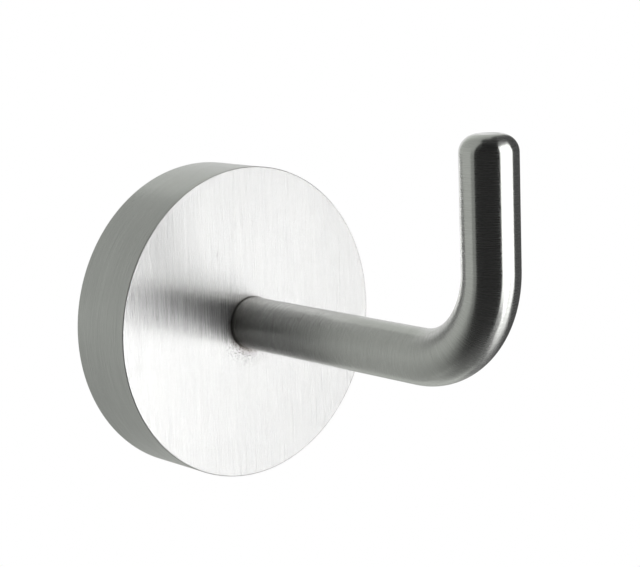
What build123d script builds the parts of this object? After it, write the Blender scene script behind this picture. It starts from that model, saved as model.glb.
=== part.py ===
from build123d import *
import os
from math import radians, tan

# A coat hook of brushed stainless steel with a concealed fixing, in millimetres.
# The wall is the plane y = 0, the hook projects towards -Y, and +Z is up.
# The origin is the middle of the wall plate's rear face.

# Rosette: a turned cup that covers the fixing
rosette_diameter = 48.0
rosette_depth = 12.0
face_thickness = 3.0
rim_thickness = 2.5
front_edge_chamfer = 0.15
rear_edge_chamfer = 0.3

# Hook rod: a round bar bent once, with a rounded tip
rod_diameter = 8.0
projection = 67.0  # from the wall to the front of the upright
bend_radius = 13.5  # of the centreline
tip_height = 31.5  # above the level run's centreline
tip_round = 2.5
shoulder_chamfer = 0.2

# Spigot: the rod's turned end, with two flats that stop it turning in the rosette
spigot_wall = 0.9  # of metal round the tapped hole
flat_depth = 0.4
spigot_clearance = 0.05
spigot_set_back = 0.2  # short of the inner face, so that the washer clamps the face
tapped_depth = 10.0
drill_point_angle = 118.0

# Rod screw: a socket head cap screw
screw_diameter = 4.0
screw_length = 10.0
screw_head_diameter = 7.0
screw_head_height = 4.0
screw_socket_width = 3.0
screw_socket_depth = 2.0
screw_edge_chamfer = 0.4

# Washers under the rod screw's head
flat_washer_diameter = 9.0
flat_washer_thickness = 0.8
spring_washer_diameter = 7.2
spring_washer_thickness = 0.9
spring_washer_slit = 0.6
spring_washer_slit_angle = 25.0
washer_clearance = 0.15

# Wall plate: a turned ring with a groove round its edge and two countersunk holes
plate_thickness = 7.0
plate_clearance = 0.1
plate_bore_clearance = 1.0
plate_edge_chamfer = 0.4
groove_depth = 1.6
wall_hole_diameter = 4.5
countersink_diameter = 9.0
countersink_angle = 90.0
countersink_margin = 2.3  # of metal between a countersink and the groove's bottom

# Grub screw: a set screw whose cone seats in the plate's groove
grub_diameter = 4.0
grub_recess = 0.15  # below the rim's outer surface
grub_tip_flat = 0.2
grub_socket_width = 2.0
grub_socket_depth = 1.8
grub_edge_chamfer = 0.3
grub_seat_clearance = 0.05

# Between an external thread and its tapped hole, both drawn plain
thread_clearance = 0.05

# Sizes that follow from those above
rosette_radius = rosette_diameter / 2
cup_radius = rosette_radius - rim_thickness
cup_depth = rosette_depth - face_thickness
rod_radius = rod_diameter / 2
upright_distance = projection - rod_radius
tapped_radius = screw_diameter / 2 + thread_clearance
spigot_radius = tapped_radius + spigot_wall
spigot_end = cup_depth + spigot_set_back
flat_washer_rear = cup_depth - flat_washer_thickness
spring_washer_rear = flat_washer_rear - spring_washer_thickness
washer_bore_radius = screw_diameter / 2 + washer_clearance
plate_radius = cup_radius - plate_clearance
plate_bore_radius = flat_washer_diameter / 2 + plate_bore_clearance
groove_distance = plate_thickness / 2
groove_bottom_radius = plate_radius - groove_depth
wall_hole_pitch = 2 * (groove_bottom_radius - countersink_margin - countersink_diameter / 2)
grub_point_radius = groove_bottom_radius + grub_seat_clearance
grub_length = rosette_radius - grub_recess - grub_point_radius


def from_wall(distance):
    """A plane parallel to the wall, facing away from it."""
    return Plane.XZ.offset(distance)


def turned(*outline):
    """A solid turned about the hook's axis from points of (radius, distance from the wall)."""
    points = [(radius, -distance) for radius, distance in outline]
    return revolve(make_face(Polyline(*points, close=True)), Axis.Y)


def double_d(radius, flat):
    """A round section with a flat cut on each side, to that depth."""
    return Circle(radius) & Rectangle(2 * (radius - flat), 2 * radius)


def hexagon(width):
    """A socket's section, with its width measured across flats."""
    return RegularPolygon(width / 2, 6, major_radius=False)


def make_rosette():
    """The cup, with its edges broken, the spigot's hole and the grub screw's tapped hole."""
    cup = turned(
        (0, rosette_depth),
        (rosette_radius, rosette_depth),
        (rosette_radius, 0),
        (cup_radius, 0),
        (cup_radius, cup_depth),
        (0, cup_depth),
    )
    edges = cup.edges().filter_by(GeomType.CIRCLE).group_by(Axis.Y)
    cup = chamfer(edges[0], front_edge_chamfer)
    edges = cup.edges().filter_by(GeomType.CIRCLE).group_by(Axis.Y)
    cup = chamfer(edges[-1], rear_edge_chamfer)
    hole = double_d(spigot_radius + spigot_clearance, flat_depth)
    cup -= extrude(from_wall(cup_depth) * hole, face_thickness)
    grub_plane = Plane(origin=(0, -groove_distance, 0), z_dir=(0, 0, -1))
    cup -= extrude(grub_plane * Circle(grub_diameter / 2 + thread_clearance), rosette_radius)
    return cup


def make_hook_rod():
    """The bent bar with its rounded tip, its spigot and the tapped hole in its end."""
    start = (0, -rosette_depth, 0)
    corner = (0, -upright_distance, 0)
    tip = (0, -upright_distance, tip_height)
    path = FilletPolyline(start, corner, tip, radius=bend_radius)
    bar = sweep(from_wall(rosette_depth) * Circle(rod_radius), path)
    bar = fillet(bar.edges().group_by(Axis.Z)[-1], tip_round)
    bar = chamfer(bar.edges().group_by(Axis.Y)[-1], shoulder_chamfer)
    bar += extrude(from_wall(spigot_end) * double_d(spigot_radius, flat_depth), rosette_depth - spigot_end)
    tapped_end = spigot_end + tapped_depth
    drill_point = tapped_radius / tan(radians(drill_point_angle / 2))
    bar -= turned(
        (0, spigot_end),
        (tapped_radius, spigot_end),
        (tapped_radius, tapped_end),
        (0, tapped_end + drill_point),
    )
    return bar


def make_flat_washer():
    """A plain ring against the cup's inner face."""
    return turned(
        (washer_bore_radius, cup_depth),
        (flat_washer_diameter / 2, cup_depth),
        (flat_washer_diameter / 2, flat_washer_rear),
        (washer_bore_radius, flat_washer_rear),
    )


def make_spring_washer():
    """A ring pressed flat, with the slanting slit that gave it its spring."""
    outer_radius = spring_washer_diameter / 2
    ring = turned(
        (washer_bore_radius, flat_washer_rear),
        (outer_radius, flat_washer_rear),
        (outer_radius, spring_washer_rear),
        (washer_bore_radius, spring_washer_rear),
    )
    middle = (0, -(flat_washer_rear + spring_washer_rear) / 2, outer_radius)
    slit = Box(spring_washer_slit, 4 * spring_washer_thickness, 2 * outer_radius - washer_bore_radius)
    return ring - Pos(*middle) * Rot(0, 0, spring_washer_slit_angle) * slit


def make_rod_screw():
    """The cap screw, with its head inside the cup and its shank in the rod."""
    head_rear = spring_washer_rear - screw_head_height
    head_radius = screw_head_diameter / 2
    shank_radius = screw_diameter / 2
    shank_end = spring_washer_rear + screw_length
    screw = turned(
        (0, head_rear),
        (head_radius - screw_edge_chamfer, head_rear),
        (head_radius, head_rear + screw_edge_chamfer),
        (head_radius, spring_washer_rear),
        (shank_radius, spring_washer_rear),
        (shank_radius, shank_end - screw_edge_chamfer),
        (shank_radius - screw_edge_chamfer, shank_end),
        (0, shank_end),
    )
    return screw - extrude(from_wall(head_rear) * hexagon(screw_socket_width), screw_socket_depth)


def make_wall_plate():
    """The ring against the wall, with a 90 degree groove round the middle of its edge."""
    ring = turned(
        (plate_bore_radius, 0),
        (plate_radius, 0),
        (plate_radius, groove_distance - groove_depth),
        (groove_bottom_radius, groove_distance),
        (plate_radius, groove_distance + groove_depth),
        (plate_radius, plate_thickness - plate_edge_chamfer),
        (plate_radius - plate_edge_chamfer, plate_thickness),
        (plate_bore_radius, plate_thickness),
    )
    with BuildPart() as plate:
        add(ring)
        with Locations(from_wall(plate_thickness)):
            with GridLocations(wall_hole_pitch, 0, 2, 1):
                CounterSinkHole(
                    wall_hole_diameter / 2,
                    countersink_diameter / 2,
                    counter_sink_angle=countersink_angle,
                )
    return plate.part


def make_grub_screw():
    """The set screw under the rim, drawn from its cone point outwards and then turned downwards."""
    radius = grub_diameter / 2
    outline = Polyline(
        (0, grub_tip_flat),
        (grub_tip_flat, grub_tip_flat),
        (radius, radius),
        (radius, grub_length - grub_edge_chamfer),
        (radius - grub_edge_chamfer, grub_length),
        (0, grub_length),
        close=True,
    )
    screw = revolve(Plane.XZ * make_face(outline), Axis.Z)
    socket_floor = Plane.XY.offset(grub_length - grub_socket_depth)
    screw -= extrude(socket_floor * hexagon(grub_socket_width), grub_socket_depth)
    return Pos(0, -groove_distance, -grub_point_radius) * Rot(180, 0, 0) * screw


pieces = {
    "rosette": make_rosette(),
    "hook_rod": make_hook_rod(),
    "wall_plate": make_wall_plate(),
    "rod_screw": make_rod_screw(),
    "spring_washer": make_spring_washer(),
    "flat_washer": make_flat_washer(),
    "grub_screw": make_grub_screw(),
}

os.makedirs("parts", exist_ok=True)
for name, piece in pieces.items():
    export_step(piece, f"parts/{name}.step")
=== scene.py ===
from math import atan2, cos, hypot, pi, radians, sin, sqrt, tan, tau

import bmesh
import bpy
from mathutils import Matrix, Vector


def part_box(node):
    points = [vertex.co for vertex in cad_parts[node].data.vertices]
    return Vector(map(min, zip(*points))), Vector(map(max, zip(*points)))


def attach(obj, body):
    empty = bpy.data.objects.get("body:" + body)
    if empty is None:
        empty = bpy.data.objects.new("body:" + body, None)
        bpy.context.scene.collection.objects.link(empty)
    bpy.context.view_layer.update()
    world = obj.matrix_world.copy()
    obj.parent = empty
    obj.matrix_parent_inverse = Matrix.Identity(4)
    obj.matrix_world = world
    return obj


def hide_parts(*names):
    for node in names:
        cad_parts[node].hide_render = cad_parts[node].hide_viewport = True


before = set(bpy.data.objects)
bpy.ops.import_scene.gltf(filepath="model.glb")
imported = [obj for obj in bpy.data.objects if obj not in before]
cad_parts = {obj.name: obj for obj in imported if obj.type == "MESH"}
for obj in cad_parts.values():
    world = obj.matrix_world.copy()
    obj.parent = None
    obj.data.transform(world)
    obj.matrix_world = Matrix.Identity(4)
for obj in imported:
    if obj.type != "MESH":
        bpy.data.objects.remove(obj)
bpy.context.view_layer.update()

# A coat hook of brushed stainless steel with a concealed fixing, in metres.
# The wall is the plane y = 0, the hook projects towards -Y, and +Z is up.

MM = 0.001
NEAR = 0.01 * MM  # how close a point lies to the place it is picked by
DOUBLES = 0.001 * MM  # how close two points lie that are merged
OVERCUT = 1.0 * MM  # how far a cutter, or a piece that is joined on, reaches past the metal's surface
FINE_STEPS = 256  # round the rosette and the wall plate
ROUND_STEPS = 96  # round the rod and the small turned pieces
BEND_STEPS = 64  # along the rod's bend
TIP_STEPS = 16  # over the rounding of the rod's tip
FRONT_EDGE_STEPS = 4  # over the rosette's front edge
EDGE_STEPS = 3  # over the other broken edges
SMOOTH_ANGLE = radians(30)  # between faces that shade as one
FACING = 0.9  # how squarely a face looks away from the wall to count as the front

# Directions
ACROSS = Vector((1, 0, 0))
OFF_WALL = Vector((0, -1, 0))
DOWN = Vector((0, 0, -1))
UP = Vector((0, 0, 1))

# Sizes read from the frame
rosette_low, rosette_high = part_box("rosette")
rod_low, rod_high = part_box("hook_rod")
plate_low, plate_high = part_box("wall_plate")
screw_low, screw_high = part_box("rod_screw")
spring_low, spring_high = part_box("spring_washer")
washer_low, washer_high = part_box("flat_washer")
grub_low, grub_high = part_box("grub_screw")
ROSETTE_RADIUS = rosette_high.x
ROSETTE_DEPTH = -rosette_low.y
CUP_DEPTH = -washer_low.y
ROD_RADIUS = rod_high.x
UPRIGHT_DISTANCE = -rod_low.y - ROD_RADIUS
TIP_HEIGHT = rod_high.z
SPIGOT_END = -rod_high.y
PLATE_RADIUS = plate_high.x
PLATE_THICKNESS = -plate_low.y
GROOVE_DISTANCE = PLATE_THICKNESS / 2
SCREW_HEAD_RADIUS = screw_high.x
SCREW_HEAD_REAR = -screw_high.y
SCREW_END = -screw_low.y
SPRING_RADIUS = spring_high.x
SPRING_REAR = -spring_high.y
WASHER_RADIUS = washer_high.x
WASHER_REAR = -washer_high.y
GRUB_RADIUS = grub_high.x
GRUB_TOP = -grub_high.z  # the cone's end, below the hook's axis
GRUB_BOTTOM = -grub_low.z

# Sizes of the rosette and the rod that no box gives
RIM_THICKNESS = 2.5 * MM
FRONT_EDGE = 0.15 * MM
REAR_EDGE = 0.3 * MM
BEND_RADIUS = 13.5 * MM  # of the centreline
TIP_ROUND = 2.5 * MM
SHOULDER_EDGE = 0.2 * MM
TAPPED_RADIUS = 2.05 * MM
TAPPED_DEPTH = 10.0 * MM
DRILL_HALF_ANGLE = radians(59)
DRILL_POINT = TAPPED_RADIUS / tan(DRILL_HALF_ANGLE)
SPIGOT_RADIUS = 2.95 * MM
SPIGOT_FLAT = 2.55 * MM  # from the axis to each flat
SPIGOT_CLEARANCE = 0.05 * MM
GRUB_HOLE_RADIUS = 2.05 * MM

# Sizes of the pieces behind the rosette that no box gives
PLATE_BORE_RADIUS = 5.5 * MM
PLATE_EDGE = 0.4 * MM
GROOVE_DEPTH = 1.6 * MM
WALL_HOLE_PITCH = 26 * MM
WALL_HOLE_RADIUS = 2.25 * MM
COUNTERSINK_RADIUS = 4.5 * MM
SCREW_RADIUS = 2.0 * MM
SCREW_EDGE = 0.4 * MM
SCREW_SOCKET_WIDTH = 3.0 * MM
SCREW_SOCKET_DEPTH = 2.0 * MM
WASHER_BORE_RADIUS = 2.15 * MM
WASHER_EDGE = 0.1 * MM
SLIT_WIDTH = 0.6 * MM
SLIT_ANGLE = radians(25)
GRUB_POINT = 0.2 * MM
GRUB_EDGE = 0.3 * MM
GRUB_SOCKET_WIDTH = 2.0 * MM
GRUB_SOCKET_DEPTH = 1.8 * MM

# The camera, found by fitting the rosette's and the rod's outlines to the photograph
CAMERA_AZIMUTH = radians(-40.725)
CAMERA_ELEVATION = radians(10.106)
CAMERA_ROLL = radians(-2.119)
CAMERA_DISTANCE = 274.9 * MM
FACE_CENTRE_RIGHT = -10.535 * MM  # of the middle of the picture
FACE_CENTRE_UP = -6.006 * MM
CAMERA_LENS = 100.475  # in millimetres, as Blender counts it
SENSOR_WIDTH = 36


def deselect():
    """Leave edit mode and deselect every object."""
    if bpy.context.object and bpy.context.object.mode != "OBJECT":
        bpy.ops.object.mode_set(mode="OBJECT")
    bpy.ops.object.select_all(action="DESELECT")


def pick(piece):
    """Make this the one piece that the operators act on."""
    deselect()
    bpy.context.view_layer.objects.active = piece
    piece.select_set(True)


def start_piece(name):
    """Name the primitive just added, put its place into its mesh and go into edit mode."""
    bpy.ops.object.transform_apply(location=True, rotation=True, scale=True)
    piece = bpy.context.object
    piece.name = name
    piece.data.name = name
    bpy.ops.object.mode_set(mode="EDIT")
    bpy.ops.mesh.select_all(action="SELECT")
    return piece


def close_up():
    """Merge the doubles that a spin leaves, turn the faces outwards and leave edit mode."""
    bpy.ops.mesh.select_all(action="SELECT")
    bpy.ops.mesh.remove_doubles(threshold=DOUBLES)
    bpy.ops.mesh.normals_make_consistent(inside=False)
    bpy.ops.object.mode_set(mode="OBJECT")


def select_edges(piece, passes):
    """In edit mode, select the edges whose two ends pass the test."""
    bpy.ops.mesh.select_mode(type="EDGE")
    bpy.ops.mesh.select_all(action="DESELECT")
    mesh = bmesh.from_edit_mesh(piece.data)
    for edge in mesh.edges:
        edge.select_set(all(passes(vertex.co) for vertex in edge.verts))
    bmesh.update_edit_mesh(piece.data)


def draw_line(name, points):
    """A line of edges through the points, drawn from a plane merged to one vertex."""
    deselect()
    bpy.ops.mesh.primitive_plane_add(size=MM, calc_uvs=False)
    piece = start_piece(name)
    bpy.ops.mesh.select_mode(type="VERT")
    bpy.ops.mesh.select_all(action="SELECT")
    bpy.ops.mesh.merge(type="CENTER")
    bpy.ops.transform.translate(value=points[0])
    for start, end in zip(points, points[1:]):
        bpy.ops.mesh.extrude_vertices_move(TRANSFORM_OT_translate={"value": end - start})
    bpy.ops.mesh.select_all(action="SELECT")
    return piece


def turn(name, outline, steps, centre=(0, 0, 0), along=OFF_WALL):
    """Turn an outline of (radius, distance along the axis) points, as on a lathe."""
    centre = Vector(centre)
    if outline[0][0] > 0:
        outline = [*outline, outline[0]]
    piece = draw_line(name, [centre + radius * ACROSS + distance * along for radius, distance in outline])
    bpy.ops.mesh.spin(steps=steps, angle=tau, center=centre, axis=along)
    close_up()
    return piece


def round_ring(piece, radius, distance, width, steps):
    """Bevel the ring of edges at that radius and distance from the wall."""
    pick(piece)
    bpy.ops.object.mode_set(mode="EDIT")
    select_edges(piece, lambda co: abs(hypot(co.x, co.z) - radius) < NEAR and abs(-co.y - distance) < NEAR)
    bpy.ops.mesh.bevel(offset=width, segments=steps, affect="EDGES")
    bpy.ops.object.mode_set(mode="OBJECT")


def combine(piece, other, operation):
    """Cut another piece out of this one, or add it, and delete the other."""
    pick(piece)
    bpy.ops.object.modifier_add(type="BOOLEAN")
    boolean = piece.modifiers[-1]
    boolean.object = other
    boolean.operation = operation
    boolean.solver = "EXACT"
    bpy.ops.object.modifier_apply(modifier=boolean.name)
    bpy.data.objects.remove(other)


def double_d_bar(name, radius, flat, start, end):
    """A round bar along the hook's axis with a flat on each side, between two distances from the wall."""
    deselect()
    bpy.ops.mesh.primitive_cylinder_add(
        vertices=ROUND_STEPS,
        radius=radius,
        depth=end - start,
        location=(0, -(start + end) / 2, 0),
        rotation=(pi / 2, 0, 0),
        calc_uvs=False,
    )
    piece = start_piece(name)
    for side in (-1, 1):
        bpy.ops.mesh.select_all(action="SELECT")
        bpy.ops.mesh.bisect(
            plane_co=(side * flat, 0, 0),
            plane_no=(side, 0, 0),
            use_fill=True,
            clear_outer=True,
            threshold=DOUBLES,
        )
    close_up()
    return piece


def hexagon_bar(name, width, middle, length, rotation):
    """A six-sided bar, to cut a socket with, its width measured across flats."""
    deselect()
    bpy.ops.mesh.primitive_cylinder_add(
        vertices=6,
        radius=width / sqrt(3),
        depth=length,
        location=middle,
        rotation=rotation,
        calc_uvs=False,
    )
    piece = start_piece(name)
    close_up()
    return piece


def brush(piece, rule):
    """Lay the map that the brushing follows: across the brush lines, then along them, in metres."""
    for layer in list(piece.data.uv_layers):
        piece.data.uv_layers.remove(layer)
    layer = piece.data.uv_layers.new(name="brush")
    for face in piece.data.polygons:
        for corner in face.loop_indices:
            point = piece.data.vertices[piece.data.loops[corner].vertex_index].co
            layer.uv[corner].vector = rule(point, face.normal)


def lathe_lines(centre=(0, 0, 0), along=OFF_WALL):
    """A rule for lines that run round a lathe's axis, on ends and sides alike."""
    centre = Vector(centre)

    def rule(point, normal):
        distance = (point - centre).dot(along)
        arm = point - centre - distance * along
        return (arm.length + distance, arm.length * atan2(arm.dot(ACROSS), arm.dot(along.cross(ACROSS))))

    return rule


def finish_piece(piece, node_name):
    """Smooth the piece's round faces, keep its flat ones flat and let it stand for its node."""
    pick(piece)
    bpy.ops.object.shade_smooth_by_angle(angle=SMOOTH_ANGLE)
    bpy.ops.object.modifier_add(type="WEIGHTED_NORMAL")
    weighted = piece.modifiers[-1]
    weighted.keep_sharp = True
    bpy.ops.object.modifier_apply(modifier=weighted.name)
    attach(piece, "root")
    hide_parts(node_name)


def colour(text):
    """An sRGB hex colour as linear RGBA."""
    shares = [int(text[i : i + 2], 16) / 255 for i in (1, 3, 5)]
    return [s / 12.92 if s <= 0.04045 else ((s + 0.055) / 1.055) ** 2.4 for s in shares] + [1.0]


def node(material, kind, inputs=None, **settings):
    """Add a node with its settings, and its inputs linked to sockets or set to values."""
    made = material.node_tree.nodes.new("ShaderNode" + kind)
    for name, value in settings.items():
        setattr(made, name, value)
    for name, value in (inputs or {}).items():
        if isinstance(value, bpy.types.NodeSocket):
            material.node_tree.links.new(value, made.inputs[name])
        else:
            made.inputs[name].default_value = value
    return made


def new_material(name):
    """An empty procedural material, and its shader."""
    material = bpy.data.materials.new(name)
    material.use_nodes = True
    return material, material.node_tree.nodes["Principled BSDF"]


# One scratch of the brush. It is too fine to show by itself and is kept so fine on purpose: sharp and
# hazy scratches blend within a pixel, which gives reflections a crisp core with a soft haze round it.
HAIR_WIDTH = 0.008 * MM
CLOUD_SIZE = 7 * MM  # of the soft patches that a hand leaves in the polish
CLOUD_SHARE = 0.35  # of those patches in the tone, beside the lines
TONE_RANGE = (0.4, 0.95)  # of lines and patches together, from the dark tone to the light one
HAIR_RANGE = (0.3, 0.7)  # of the hairs' noise, from sharp scratches to hazy ones


def brushed_steel(name, tones, roughnesses, anisotropy, line_width, line_length, line_height, metallic=1.0):
    """Steel worked one way: reflections are drawn out across fine parallel lines.

    Real lines are a few hundredths of a millimetre wide. They are drawn several times as wide as that,
    in bundles, so that they show in the render.
    """
    material, shader = new_material(name)
    dark, light = tones
    smooth, rough = roughnesses
    place = node(material, "TexCoord").outputs["Object"]
    mapped = node(material, "UVMap", uv_map="brush").outputs[0]
    across = node(material, "SeparateXYZ", {0: mapped}).outputs["X"]
    line_place = node(
        material, "VectorMath", {0: place, "Scale": 1 / line_length}, operation="SCALE"
    ).outputs[0]
    line_phase = node(material, "Math", {0: across, 1: 1 / line_width}, operation="MULTIPLY").outputs[0]
    lines = node(
        material,
        "TexNoise",
        {"Vector": line_place, "W": line_phase, "Scale": 1.0, "Detail": 4.0, "Roughness": 0.65},
        noise_dimensions="4D",
    ).outputs["Fac"]
    hair_phase = node(material, "Math", {0: across, 1: 1 / HAIR_WIDTH}, operation="MULTIPLY").outputs[0]
    hairs = node(
        material,
        "TexNoise",
        {"Vector": line_place, "W": hair_phase, "Scale": 1.0, "Detail": 1.0},
        noise_dimensions="4D",
    ).outputs["Fac"]
    clouds = node(
        material, "TexNoise", {"Vector": place, "Scale": 1 / CLOUD_SIZE, "Detail": 3.0, "Roughness": 0.55}
    ).outputs["Fac"]
    mixed = node(material, "Math", {0: clouds, 1: CLOUD_SHARE, 2: lines}, operation="MULTIPLY_ADD").outputs[0]
    share = node(material, "MapRange", {0: mixed, 1: TONE_RANGE[0], 2: TONE_RANGE[1]}).outputs[0]
    tone = node(material, "Mix", {0: share, 6: colour(dark), 7: colour(light)}, data_type="RGBA").outputs[2]
    haze = node(
        material, "MapRange", {0: hairs, 1: HAIR_RANGE[0], 2: HAIR_RANGE[1], 3: smooth, 4: rough}
    ).outputs[0]
    relief = node(material, "Bump", {"Strength": 1.0, "Distance": line_height, "Height": lines}).outputs[0]
    grain = node(material, "Tangent", direction_type="UV_MAP", uv_map="brush").outputs[0]
    shader.inputs["Metallic"].default_value = metallic
    shader.inputs["Anisotropic"].default_value = anisotropy
    links = {"Base Color": tone, "Roughness": haze, "Normal": relief, "Tangent": grain}
    for input_name, socket in links.items():
        material.node_tree.links.new(socket, shader.inputs[input_name])
    return material


def stain_and_shade(material, tone, depth, *fades):
    """Lay a darker tone over the colour, to that depth: real stains and painted shade alike.

    Each fade is a value with its start, where the darkening is full, and its end, where none is left.
    """
    base = material.node_tree.nodes["Principled BSDF"].inputs["Base Color"]
    share = depth
    for value, start, end in fades:
        share = node(material, "MapRange", {0: value, 1: start, 2: end, 3: share, 4: 0.0}).outputs[0]
    mix = node(
        material, "Mix", {0: share, 6: base.links[0].from_socket, 7: colour(tone)}, data_type="RGBA"
    )
    material.node_tree.links.new(mix.outputs[2], base)


# Marks seen on the face, in millimetres: across, up, half width, half height, tilt in degrees, and depth
FACE_MARKS = (
    (1.1, 15.6, 0.12, 0.12, 0, 0.6),
    (-6.0, 11.4, 0.10, 0.55, 15, 0.55),
    (-7.5, 14.4, 0.10, 0.30, -20, 0.35),
    (-10.7, 0.3, 0.13, 0.13, 0, 0.6),
    (-6.2, -7.0, 0.13, 0.13, 0, 0.5),
    (-9.4, -11.4, 0.12, 0.12, 0, 0.5),
    (-4.6, -19.3, 0.11, 0.22, 0, 0.5),
)
GRIME_GRAIN = 0.26 * MM


def face_steel():
    """The face, brushed upright by hand: streaks that smear reflections sideways.

    The photograph's specks and scratches lie on it, with brown grime specks where the bar meets it; the soft
    darkening below that joint and the dark ring round it are painted shade.
    """
    material = brushed_steel(
        "brushed_stainless_face",
        tones=("#AEAEAE", "#B5B5B4"),
        roughnesses=(0.13, 0.46),
        anisotropy=0.88,
        line_width=0.25 * MM,
        line_length=9 * MM,
        line_height=0.0004 * MM,
        metallic=0.88,  # its scratches scatter some of the light every way
    )
    place = node(material, "TexCoord").outputs["Object"]
    for across, up, half_width, half_height, tilt, depth in FACE_MARKS:
        local = node(
            material,
            "Mapping",
            {
                "Vector": place,
                "Location": (across * MM, 0, up * MM),
                "Rotation": (0, radians(tilt), 0),
                "Scale": (half_width * MM, 1, half_height * MM),
            },
            vector_type="TEXTURE",
        ).outputs[0]
        reach = node(material, "VectorMath", {0: local}, operation="LENGTH").outputs["Value"]
        stain_and_shade(material, "#4A4640", depth, (reach, 0.5, 1.0))
    flat = node(material, "VectorMath", {0: place, 1: (1, 0, 1)}, operation="MULTIPLY").outputs[0]
    radius = node(material, "VectorMath", {0: flat}, operation="LENGTH").outputs["Value"]
    height = node(material, "SeparateXYZ", {0: place}).outputs["Z"]
    grains = node(
        material, "TexNoise", {"Vector": place, "Scale": 1 / GRIME_GRAIN, "Detail": 2.0, "Roughness": 0.7}
    ).outputs["Fac"]
    below = (height, -ROD_RADIUS, 1.5 * ROD_RADIUS)
    stain_and_shade(material, "#2A2018", 1.0, (grains, 0.39, 0.46), (radius, ROD_RADIUS, 1.8 * ROD_RADIUS), below)
    # Painted shade: a soft brown darkening on the face below the bar's joint.
    stain_and_shade(material, "#4A4036", 0.6, (radius, ROD_RADIUS, 1.3 * ROD_RADIUS), below)
    # Painted shadow: a dark ring on the face round the bar's foot, where the two meet.
    stain_and_shade(material, "#2E2822", 0.75, (radius, ROD_RADIUS, 1.07 * ROD_RADIUS))
    return material


def rim_steel():
    """The rim, brushed round on the lathe: fine rings that draw reflections out along the axis."""
    return brushed_steel(
        "brushed_stainless_rim",
        tones=("#B2B3B1", "#C3C4C2"),
        roughnesses=(0.2, 0.4),
        anisotropy=0.8,
        line_width=0.2 * MM,
        line_length=8 * MM,
        line_height=0.001 * MM,
    )


def bar_steel():
    """The bar, brushed round before it was bent: rings that keep its long reflections crisp.

    It is painted a little duller and browner next to the rosette, as shade where it meets the rosette, with a
    dark painted shadow line right at the joint.
    """
    material = brushed_steel(
        "brushed_stainless_bar",
        tones=("#B4B5B2", "#C4C5C2"),
        roughnesses=(0.145, 0.3),
        anisotropy=0.93,
        line_width=0.18 * MM,
        line_length=5 * MM,
        line_height=0.0003 * MM,
        metallic=0.97,  # a trace of scattered light, as on the face
    )
    place = node(material, "TexCoord").outputs["Object"]
    depth = node(material, "SeparateXYZ", {0: place}).outputs["Y"]
    # Painted shade: the bar darker and browner along its first two radii from the rosette.
    stain_and_shade(material, "#5E5A52", 0.5, (depth, -ROSETTE_DEPTH, -ROSETTE_DEPTH - 2 * ROD_RADIUS))
    # Painted shadow: a dark line round the bar right where it meets the rosette.
    stain_and_shade(material, "#2E2822", 0.7, (depth, -ROSETTE_DEPTH, -ROSETTE_DEPTH - 0.12 * ROD_RADIUS))
    return material


def cup_steel():
    """The cup's inside, turned and left: coarser tool rings and a duller grey."""
    return brushed_steel(
        "turned_stainless_inside",
        tones=("#93938F", "#A9A9A6"),
        roughnesses=(0.3, 0.48),
        anisotropy=0.6,
        line_width=0.35 * MM,
        line_length=30 * MM,
        line_height=0.004 * MM,
    )


def plate_steel():
    """The wall plate, turned and zinc plated: a cool grey with the tool's rings."""
    return brushed_steel(
        "zinc_plated_steel",
        tones=("#8E9297", "#A9ADB2"),
        roughnesses=(0.32, 0.5),
        anisotropy=0.5,
        line_width=0.4 * MM,
        line_length=30 * MM,
        line_height=0.006 * MM,
    )


def screw_steel():
    """The cap screw, cold formed and tumbled: satin, with faint rings."""
    return brushed_steel(
        "satin_stainless",
        tones=("#A3A3A0", "#B4B4B1"),
        roughnesses=(0.26, 0.4),
        anisotropy=0.4,
        line_width=0.3 * MM,
        line_length=10 * MM,
        line_height=0.002 * MM,
    )


def spring_steel():
    """The split washer, hardened: darker and bluer than the screw."""
    return brushed_steel(
        "hardened_spring_steel",
        tones=("#7E8186", "#94979C"),
        roughnesses=(0.3, 0.46),
        anisotropy=0.3,
        line_width=0.3 * MM,
        line_length=8 * MM,
        line_height=0.002 * MM,
    )


def washer_steel():
    """The plain washer, punched and tumbled: a soft even grey."""
    return brushed_steel(
        "tumbled_steel",
        tones=("#A2A4A4", "#B2B4B4"),
        roughnesses=(0.3, 0.44),
        anisotropy=0.2,
        line_width=0.4 * MM,
        line_length=8 * MM,
        line_height=0.0015 * MM,
    )


def grub_steel():
    """The set screw, blackened in oil: near black, with a soft sheen on its edges."""
    return brushed_steel(
        "blackened_steel",
        tones=("#2E2E30", "#434346"),
        roughnesses=(0.34, 0.5),
        anisotropy=0.3,
        line_width=0.3 * MM,
        line_length=6 * MM,
        line_height=0.002 * MM,
    )


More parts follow.
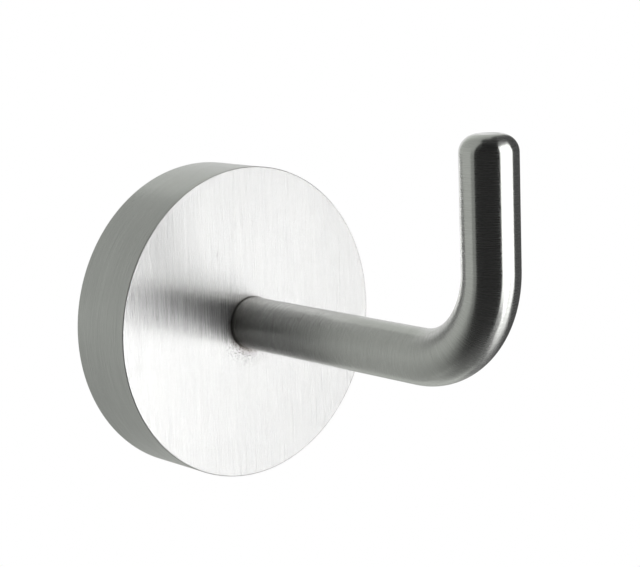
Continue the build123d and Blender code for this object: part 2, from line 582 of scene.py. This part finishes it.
def make_rosette():
    """The turned cup, with its edges broken, the spigot's hole and the grub screw's tapped hole."""
    cup_radius = ROSETTE_RADIUS - RIM_THICKNESS
    pilot_radius = SPIGOT_FLAT / 2  # of the hole that the spigot's is cut from
    piece = turn(
        "rosette_cup",
        [
            (pilot_radius, ROSETTE_DEPTH),
            (ROSETTE_RADIUS, ROSETTE_DEPTH),
            (ROSETTE_RADIUS, 0),
            (cup_radius, 0),
            (cup_radius, CUP_DEPTH),
            (pilot_radius, CUP_DEPTH),
        ],
        FINE_STEPS,
    )
    round_ring(piece, ROSETTE_RADIUS, ROSETTE_DEPTH, FRONT_EDGE, FRONT_EDGE_STEPS)
    round_ring(piece, ROSETTE_RADIUS, 0, REAR_EDGE, EDGE_STEPS)
    round_ring(piece, cup_radius, 0, REAR_EDGE, EDGE_STEPS)
    hole = double_d_bar(
        "spigot_hole",
        SPIGOT_RADIUS + SPIGOT_CLEARANCE,
        SPIGOT_FLAT + SPIGOT_CLEARANCE,
        CUP_DEPTH - OVERCUT,
        ROSETTE_DEPTH + OVERCUT,
    )
    combine(piece, hole, "DIFFERENCE")
    tapped = turn(
        "grub_hole",
        [
            (0, cup_radius - OVERCUT),
            (GRUB_HOLE_RADIUS, cup_radius - OVERCUT),
            (GRUB_HOLE_RADIUS, ROSETTE_RADIUS + OVERCUT),
            (0, ROSETTE_RADIUS + OVERCUT),
        ],
        ROUND_STEPS,
        centre=(0, -GROOVE_DISTANCE, 0),
        along=DOWN,
    )
    combine(piece, tapped, "DIFFERENCE")

    round_the_axis = lathe_lines()

    def rule(point, normal):
        return (point.x, point.z) if normal.y < -FACING else round_the_axis(point, normal)

    brush(piece, rule)
    for material in (rim_steel(), face_steel(), cup_steel()):
        piece.data.materials.append(material)
    for face in piece.data.polygons:
        radius = hypot(face.center.x, face.center.z)
        if face.normal.y < -FACING:
            face.material_index = 1
        elif radius < cup_radius + NEAR and face.center.y < -REAR_EDGE:
            face.material_index = 2
    finish_piece(piece, "rosette")


def make_hook_bar():
    """The bar: a disc drawn out, spun through the bend and drawn up, with its tip rounded."""
    bend_start = UPRIGHT_DISTANCE - BEND_RADIUS
    deselect()
    bpy.ops.mesh.primitive_circle_add(
        vertices=ROUND_STEPS,
        radius=ROD_RADIUS,
        fill_type="NGON",
        location=(0, -ROSETTE_DEPTH, 0),
        rotation=(pi / 2, 0, 0),
        calc_uvs=False,
    )
    piece = start_piece("hook_bar")
    level_run = (0, ROSETTE_DEPTH - bend_start, 0)
    bpy.ops.mesh.extrude_region_move(TRANSFORM_OT_translate={"value": level_run})
    bpy.ops.mesh.spin(steps=BEND_STEPS, angle=pi / 2, center=(0, -bend_start, BEND_RADIUS), axis=ACROSS)
    upright = (0, 0, TIP_HEIGHT - BEND_RADIUS)
    bpy.ops.mesh.extrude_region_move(TRANSFORM_OT_translate={"value": upright})
    select_edges(piece, lambda co: abs(co.z - TIP_HEIGHT) < NEAR)
    bpy.ops.mesh.bevel(offset=TIP_ROUND, segments=TIP_STEPS, affect="EDGES")
    select_edges(piece, lambda co: abs(co.y + ROSETTE_DEPTH) < NEAR)
    bpy.ops.mesh.bevel(offset=SHOULDER_EDGE, segments=EDGE_STEPS, affect="EDGES")
    close_up()
    spigot = double_d_bar("spigot", SPIGOT_RADIUS, SPIGOT_FLAT, SPIGOT_END, ROSETTE_DEPTH + OVERCUT)
    combine(piece, spigot, "UNION")
    tapped_end = SPIGOT_END + TAPPED_DEPTH
    tapped = turn(
        "tapped_hole",
        [
            (0, SPIGOT_END - OVERCUT),
            (TAPPED_RADIUS, SPIGOT_END - OVERCUT),
            (TAPPED_RADIUS, tapped_end),
            (0, tapped_end + DRILL_POINT),
        ],
        ROUND_STEPS,
    )
    combine(piece, tapped, "DIFFERENCE")

    def rule(point, normal):
        """Lines round the bar: on the level run, then the upright and its tip, then the bend."""
        run = -point.y - bend_start
        rise = point.z - BEND_RADIUS
        bend = BEND_RADIUS * pi / 2
        if run <= 0:
            return (run, ROD_RADIUS * atan2(point.x, point.z))
        if rise >= 0:
            off_axis = hypot(point.x, point.y + UPRIGHT_DISTANCE)
            along = bend + rise + ROD_RADIUS - off_axis
            return (along, ROD_RADIUS * atan2(point.x, point.y + UPRIGHT_DISTANCE))
        inward = BEND_RADIUS - hypot(run, rise)
        return (BEND_RADIUS * atan2(run, -rise), ROD_RADIUS * atan2(point.x, inward))

    brush(piece, rule)
    piece.data.materials.append(bar_steel())
    finish_piece(piece, "hook_rod")


def make_wall_plate():
    """The plate's ring, with a groove round its edge and two countersunk holes."""
    piece = turn(
        "plate_ring",
        [
            (PLATE_BORE_RADIUS, 0),
            (PLATE_RADIUS, 0),
            (PLATE_RADIUS, GROOVE_DISTANCE - GROOVE_DEPTH),
            (PLATE_RADIUS - GROOVE_DEPTH, GROOVE_DISTANCE),
            (PLATE_RADIUS, GROOVE_DISTANCE + GROOVE_DEPTH),
            (PLATE_RADIUS, PLATE_THICKNESS - PLATE_EDGE),
            (PLATE_RADIUS - PLATE_EDGE, PLATE_THICKNESS),
            (PLATE_BORE_RADIUS, PLATE_THICKNESS),
        ],
        FINE_STEPS,
    )
    for side in (-1, 1):
        hole = turn(
            "wall_hole",
            [
                (0, -OVERCUT),
                (WALL_HOLE_RADIUS, -OVERCUT),
                (WALL_HOLE_RADIUS, PLATE_THICKNESS - COUNTERSINK_RADIUS + WALL_HOLE_RADIUS),
                (COUNTERSINK_RADIUS, PLATE_THICKNESS),
                (COUNTERSINK_RADIUS, PLATE_THICKNESS + OVERCUT),
                (0, PLATE_THICKNESS + OVERCUT),
            ],
            ROUND_STEPS,
            centre=(side * WALL_HOLE_PITCH / 2, 0, 0),
        )
        combine(piece, hole, "DIFFERENCE")
    brush(piece, lathe_lines())
    piece.data.materials.append(plate_steel())
    finish_piece(piece, "wall_plate")


def make_rod_screw():
    """The cap screw that clamps the bar: a turned head and shank with a six-sided socket."""
    piece = turn(
        "cap_screw",
        [
            (0, SCREW_HEAD_REAR),
            (SCREW_HEAD_RADIUS - SCREW_EDGE, SCREW_HEAD_REAR),
            (SCREW_HEAD_RADIUS, SCREW_HEAD_REAR + SCREW_EDGE),
            (SCREW_HEAD_RADIUS, SPRING_REAR),
            (SCREW_RADIUS, SPRING_REAR),
            (SCREW_RADIUS, SCREW_END - SCREW_EDGE),
            (SCREW_RADIUS - SCREW_EDGE, SCREW_END),
            (0, SCREW_END),
        ],
        ROUND_STEPS,
    )
    socket = hexagon_bar(
        "screw_socket",
        SCREW_SOCKET_WIDTH,
        middle=(0, -SCREW_HEAD_REAR, 0),
        length=2 * SCREW_SOCKET_DEPTH,
        rotation=(pi / 2, 0, 0),
    )
    combine(piece, socket, "DIFFERENCE")
    brush(piece, lathe_lines())
    piece.data.materials.append(screw_steel())
    finish_piece(piece, "rod_screw")


def make_flat_washer():
    """The plain washer, with the edge that punching leaves round."""
    piece = turn(
        "plain_washer",
        [
            (WASHER_BORE_RADIUS, WASHER_REAR),
            (WASHER_RADIUS, WASHER_REAR),
            (WASHER_RADIUS, CUP_DEPTH),
            (WASHER_BORE_RADIUS, CUP_DEPTH),
        ],
        ROUND_STEPS,
    )
    round_ring(piece, WASHER_RADIUS, WASHER_REAR, WASHER_EDGE, EDGE_STEPS)
    brush(piece, lathe_lines())
    piece.data.materials.append(washer_steel())
    finish_piece(piece, "flat_washer")


def make_spring_washer():
    """The split washer, pressed flat, with its slanting slit at the top."""
    piece = turn(
        "split_washer",
        [
            (WASHER_BORE_RADIUS, SPRING_REAR),
            (SPRING_RADIUS, SPRING_REAR),
            (SPRING_RADIUS, WASHER_REAR),
            (WASHER_BORE_RADIUS, WASHER_REAR),
        ],
        ROUND_STEPS,
    )
    middle = (0, -(SPRING_REAR + WASHER_REAR) / 2, SPRING_RADIUS)
    slit_length = 4 * (WASHER_REAR - SPRING_REAR)
    slit_height = 2 * SPRING_RADIUS - WASHER_BORE_RADIUS
    deselect()
    bpy.ops.mesh.primitive_cube_add(size=1, location=middle, rotation=(0, 0, SLIT_ANGLE), calc_uvs=False)
    bpy.context.object.scale = (SLIT_WIDTH, slit_length, slit_height)
    slit = start_piece("slit")
    close_up()
    combine(piece, slit, "DIFFERENCE")
    brush(piece, lathe_lines())
    piece.data.materials.append(spring_steel())
    finish_piece(piece, "spring_washer")


def make_grub_screw():
    """The set screw under the rim, its cone in the plate's groove and its socket facing down."""
    centre = (0, -GROOVE_DISTANCE, 0)
    piece = turn(
        "set_screw",
        [
            (0, GRUB_TOP),
            (GRUB_POINT, GRUB_TOP),
            (GRUB_RADIUS, GRUB_TOP + GRUB_RADIUS - GRUB_POINT),
            (GRUB_RADIUS, GRUB_BOTTOM - GRUB_EDGE),
            (GRUB_RADIUS - GRUB_EDGE, GRUB_BOTTOM),
            (0, GRUB_BOTTOM),
        ],
        ROUND_STEPS,
        centre=centre,
        along=DOWN,
    )
    socket = hexagon_bar(
        "grub_socket",
        GRUB_SOCKET_WIDTH,
        middle=(0, -GROOVE_DISTANCE, -GRUB_BOTTOM),
        length=2 * GRUB_SOCKET_DEPTH,
        rotation=(0, 0, 0),
    )
    combine(piece, socket, "DIFFERENCE")
    brush(piece, lathe_lines(centre, DOWN))
    piece.data.materials.append(grub_steel())
    finish_piece(piece, "grub_screw")


def place_camera():
    """The photograph's viewpoint, as a turn round the face's centre."""
    back = Vector((
        sin(CAMERA_AZIMUTH) * cos(CAMERA_ELEVATION),
        -cos(CAMERA_AZIMUTH) * cos(CAMERA_ELEVATION),
        sin(CAMERA_ELEVATION),
    ))
    level = Vector((cos(CAMERA_AZIMUTH), sin(CAMERA_AZIMUTH), 0))
    upright = back.cross(level)
    right = cos(CAMERA_ROLL) * level + sin(CAMERA_ROLL) * upright
    up = cos(CAMERA_ROLL) * upright - sin(CAMERA_ROLL) * level
    face_centre = Vector((0, -ROSETTE_DEPTH, 0))
    location = face_centre - FACE_CENTRE_RIGHT * right - FACE_CENTRE_UP * up + CAMERA_DISTANCE * back
    data = bpy.data.cameras.new("camera")
    data.lens = CAMERA_LENS
    data.sensor_width = SENSOR_WIDTH
    data.sensor_fit = "HORIZONTAL"
    data.clip_start = MM
    camera = bpy.data.objects.new("camera", data)
    bpy.context.scene.collection.objects.link(camera)
    camera.matrix_world = Matrix.Translation(location) @ Matrix((right, up, back)).transposed().to_4x4()
    bpy.context.scene.camera = camera


# Studio: a white room, with cards that only the metal sees
CARD_CENTRE = Vector((0, -UPRIGHT_DISTANCE, 0))
CARD_RADIUS = 1.0
CARD_RISE_STEPS = 12
CARD_SWEEP_STEPS = 24
WHITE = "#FFFFFF"
CARD_GREY = "#F8FBF6"  # a white with a trace of green, as the photograph's greys have
FLOOR_DROP = 1.15
FLOOR_SIZE = 4.0
FLOOR_ROUGHNESS = 0.9
FLOOR_LIFT = 0.35  # added where the floor is seen, so that it shows white

# Each card: its azimuths and elevations in degrees, its tone, and its strength at its lower and upper edge
CARDS = (
    ("black_card_front", (-104, -3), (-60, 72), WHITE, (0.02, 0.0)),
    ("soft_box_left", (-3, 13), (-33, 42), WHITE, (2.1, 3.2)),
    ("soft_box_core", (13, 24), (-33, -5), WHITE, (6.0, 10.5)),
    ("soft_box_top", (13, 24), (-5, 42), WHITE, (2.2, 5.0)),
    ("soft_box_middle", (24, 38), (-34, 42), WHITE, (1.5, 3.2)),
    ("soft_box_right", (38, 52), (-34, 42), WHITE, (2.2, 3.2)),
    ("dark_card_above", (-3, 124), (42, 72), WHITE, (0.04, 0.03)),
    ("dark_card_below", (-3, 24), (-60, -33), WHITE, (0.4, 0.03)),
    ("pale_card_below", (24, 55), (-60, -34), WHITE, (1.1, 2.0)),
    ("grey_card_below", (55, 72), (-60, -34), WHITE, (0.9, 0.9)),
    ("dark_card_right", (52, 124), (-34, 42), WHITE, (0.1, 0.1)),
    ("dark_card_low_right", (72, 124), (-60, -34), WHITE, (0.2, 0.2)),
    ("dark_card_under", (-120, 100), (-89, -60), WHITE, (0.13, 0.07)),
    ("grey_card_under", (100, 240), (-89, -60), CARD_GREY, (0.2, 0.7)),
    ("shade_card_left", (-119, -104), (-60, 72), CARD_GREY, (0.12, 0.7)),
    ("grey_card_low_left", (-190, -119), (-60, 0), CARD_GREY, (0.5, 0.7)),
    ("grey_card_high_left", (-190, -119), (0, 72), CARD_GREY, (0.7, 0.5)),
    ("grey_card_back_below", (124, 170), (-60, -12), CARD_GREY, (0.95, 0.25)),
    ("grey_card_back_above", (124, 170), (20, 72), CARD_GREY, (0.95, 0.65)),
    ("black_card_top", (0, 360), (72, 89), WHITE, (0.03, 0.03)),
)


def make_card(name, azimuths, elevations, tone, strengths):
    """A curved card round the hook: an upright arc, swept round.

    It glows from the first strength at its lower edge to the second at its upper one.
    """
    low, high = (radians(angle) for angle in elevations)
    start, end = (radians(angle) for angle in azimuths)
    heights = [low + (high - low) * i / CARD_RISE_STEPS for i in range(CARD_RISE_STEPS + 1)]
    outward = Vector((sin(start), -cos(start), 0))
    arc = [CARD_CENTRE + CARD_RADIUS * (cos(angle) * outward + sin(angle) * UP) for angle in heights]
    piece = draw_line(name, arc)
    bpy.ops.mesh.spin(steps=CARD_SWEEP_STEPS, angle=start - end, center=CARD_CENTRE, axis=UP)
    close_up()
    material, shader = new_material(name)
    tree = material.node_tree
    tree.nodes.remove(shader)
    place = node(material, "TexCoord").outputs["Object"]
    height = node(material, "SeparateXYZ", {0: place}).outputs["Z"]
    strength = node(
        material, "MapRange", {0: height, 1: arc[0].z, 2: arc[-1].z, 3: strengths[0], 4: strengths[1]}
    ).outputs[0]
    glow = node(material, "Emission", {"Color": colour(tone), "Strength": strength}).outputs[0]
    tree.links.new(glow, tree.nodes["Material Output"].inputs["Surface"])
    piece.data.materials.append(material)
    piece.visible_camera = False
    piece.visible_diffuse = False
    piece.visible_shadow = False


def make_floor():
    """A plain pale floor, far enough below that the hook's shadow on it is soft."""
    deselect()
    bpy.ops.mesh.primitive_plane_add(size=FLOOR_SIZE, location=(0, 0, -FLOOR_DROP))
    floor = bpy.context.object
    floor.name = "floor"
    material, shader = new_material("pale_floor")
    shader.inputs["Base Color"].default_value = colour("#F0F0EE")
    shader.inputs["Roughness"].default_value = FLOOR_ROUGHNESS
    shader.inputs["Emission Color"].default_value = colour(WHITE)
    path = node(material, "LightPath").outputs
    seen = node(material, "Math", {0: path["Is Camera Ray"], 1: path["Is Glossy Ray"]}).outputs[0]
    seen = node(material, "Math", {0: seen, 1: path["Is Transmission Ray"]}, use_clamp=True).outputs[0]
    lift = node(material, "Math", {0: seen, 1: FLOOR_LIFT}, operation="MULTIPLY").outputs[0]
    material.node_tree.links.new(lift, shader.inputs["Emission Strength"])
    floor.data.materials.append(material)


def make_studio():
    """A white room with a pale floor, soft boxes on the right and the cards that shape the reflections."""
    world = bpy.data.worlds.new("white_room")
    world.use_nodes = True
    background = world.node_tree.nodes["Background"]
    background.inputs["Color"].default_value = colour(WHITE)
    background.inputs["Strength"].default_value = 1.0
    bpy.context.scene.world = world
    for row in CARDS:
        make_card(*row)
    make_floor()


make_rosette()
make_hook_bar()
make_wall_plate()
make_rod_screw()
make_flat_washer()
make_spring_washer()
make_grub_screw()
place_camera()
make_studio()
bpy.context.scene.view_settings.view_transform = "Standard"
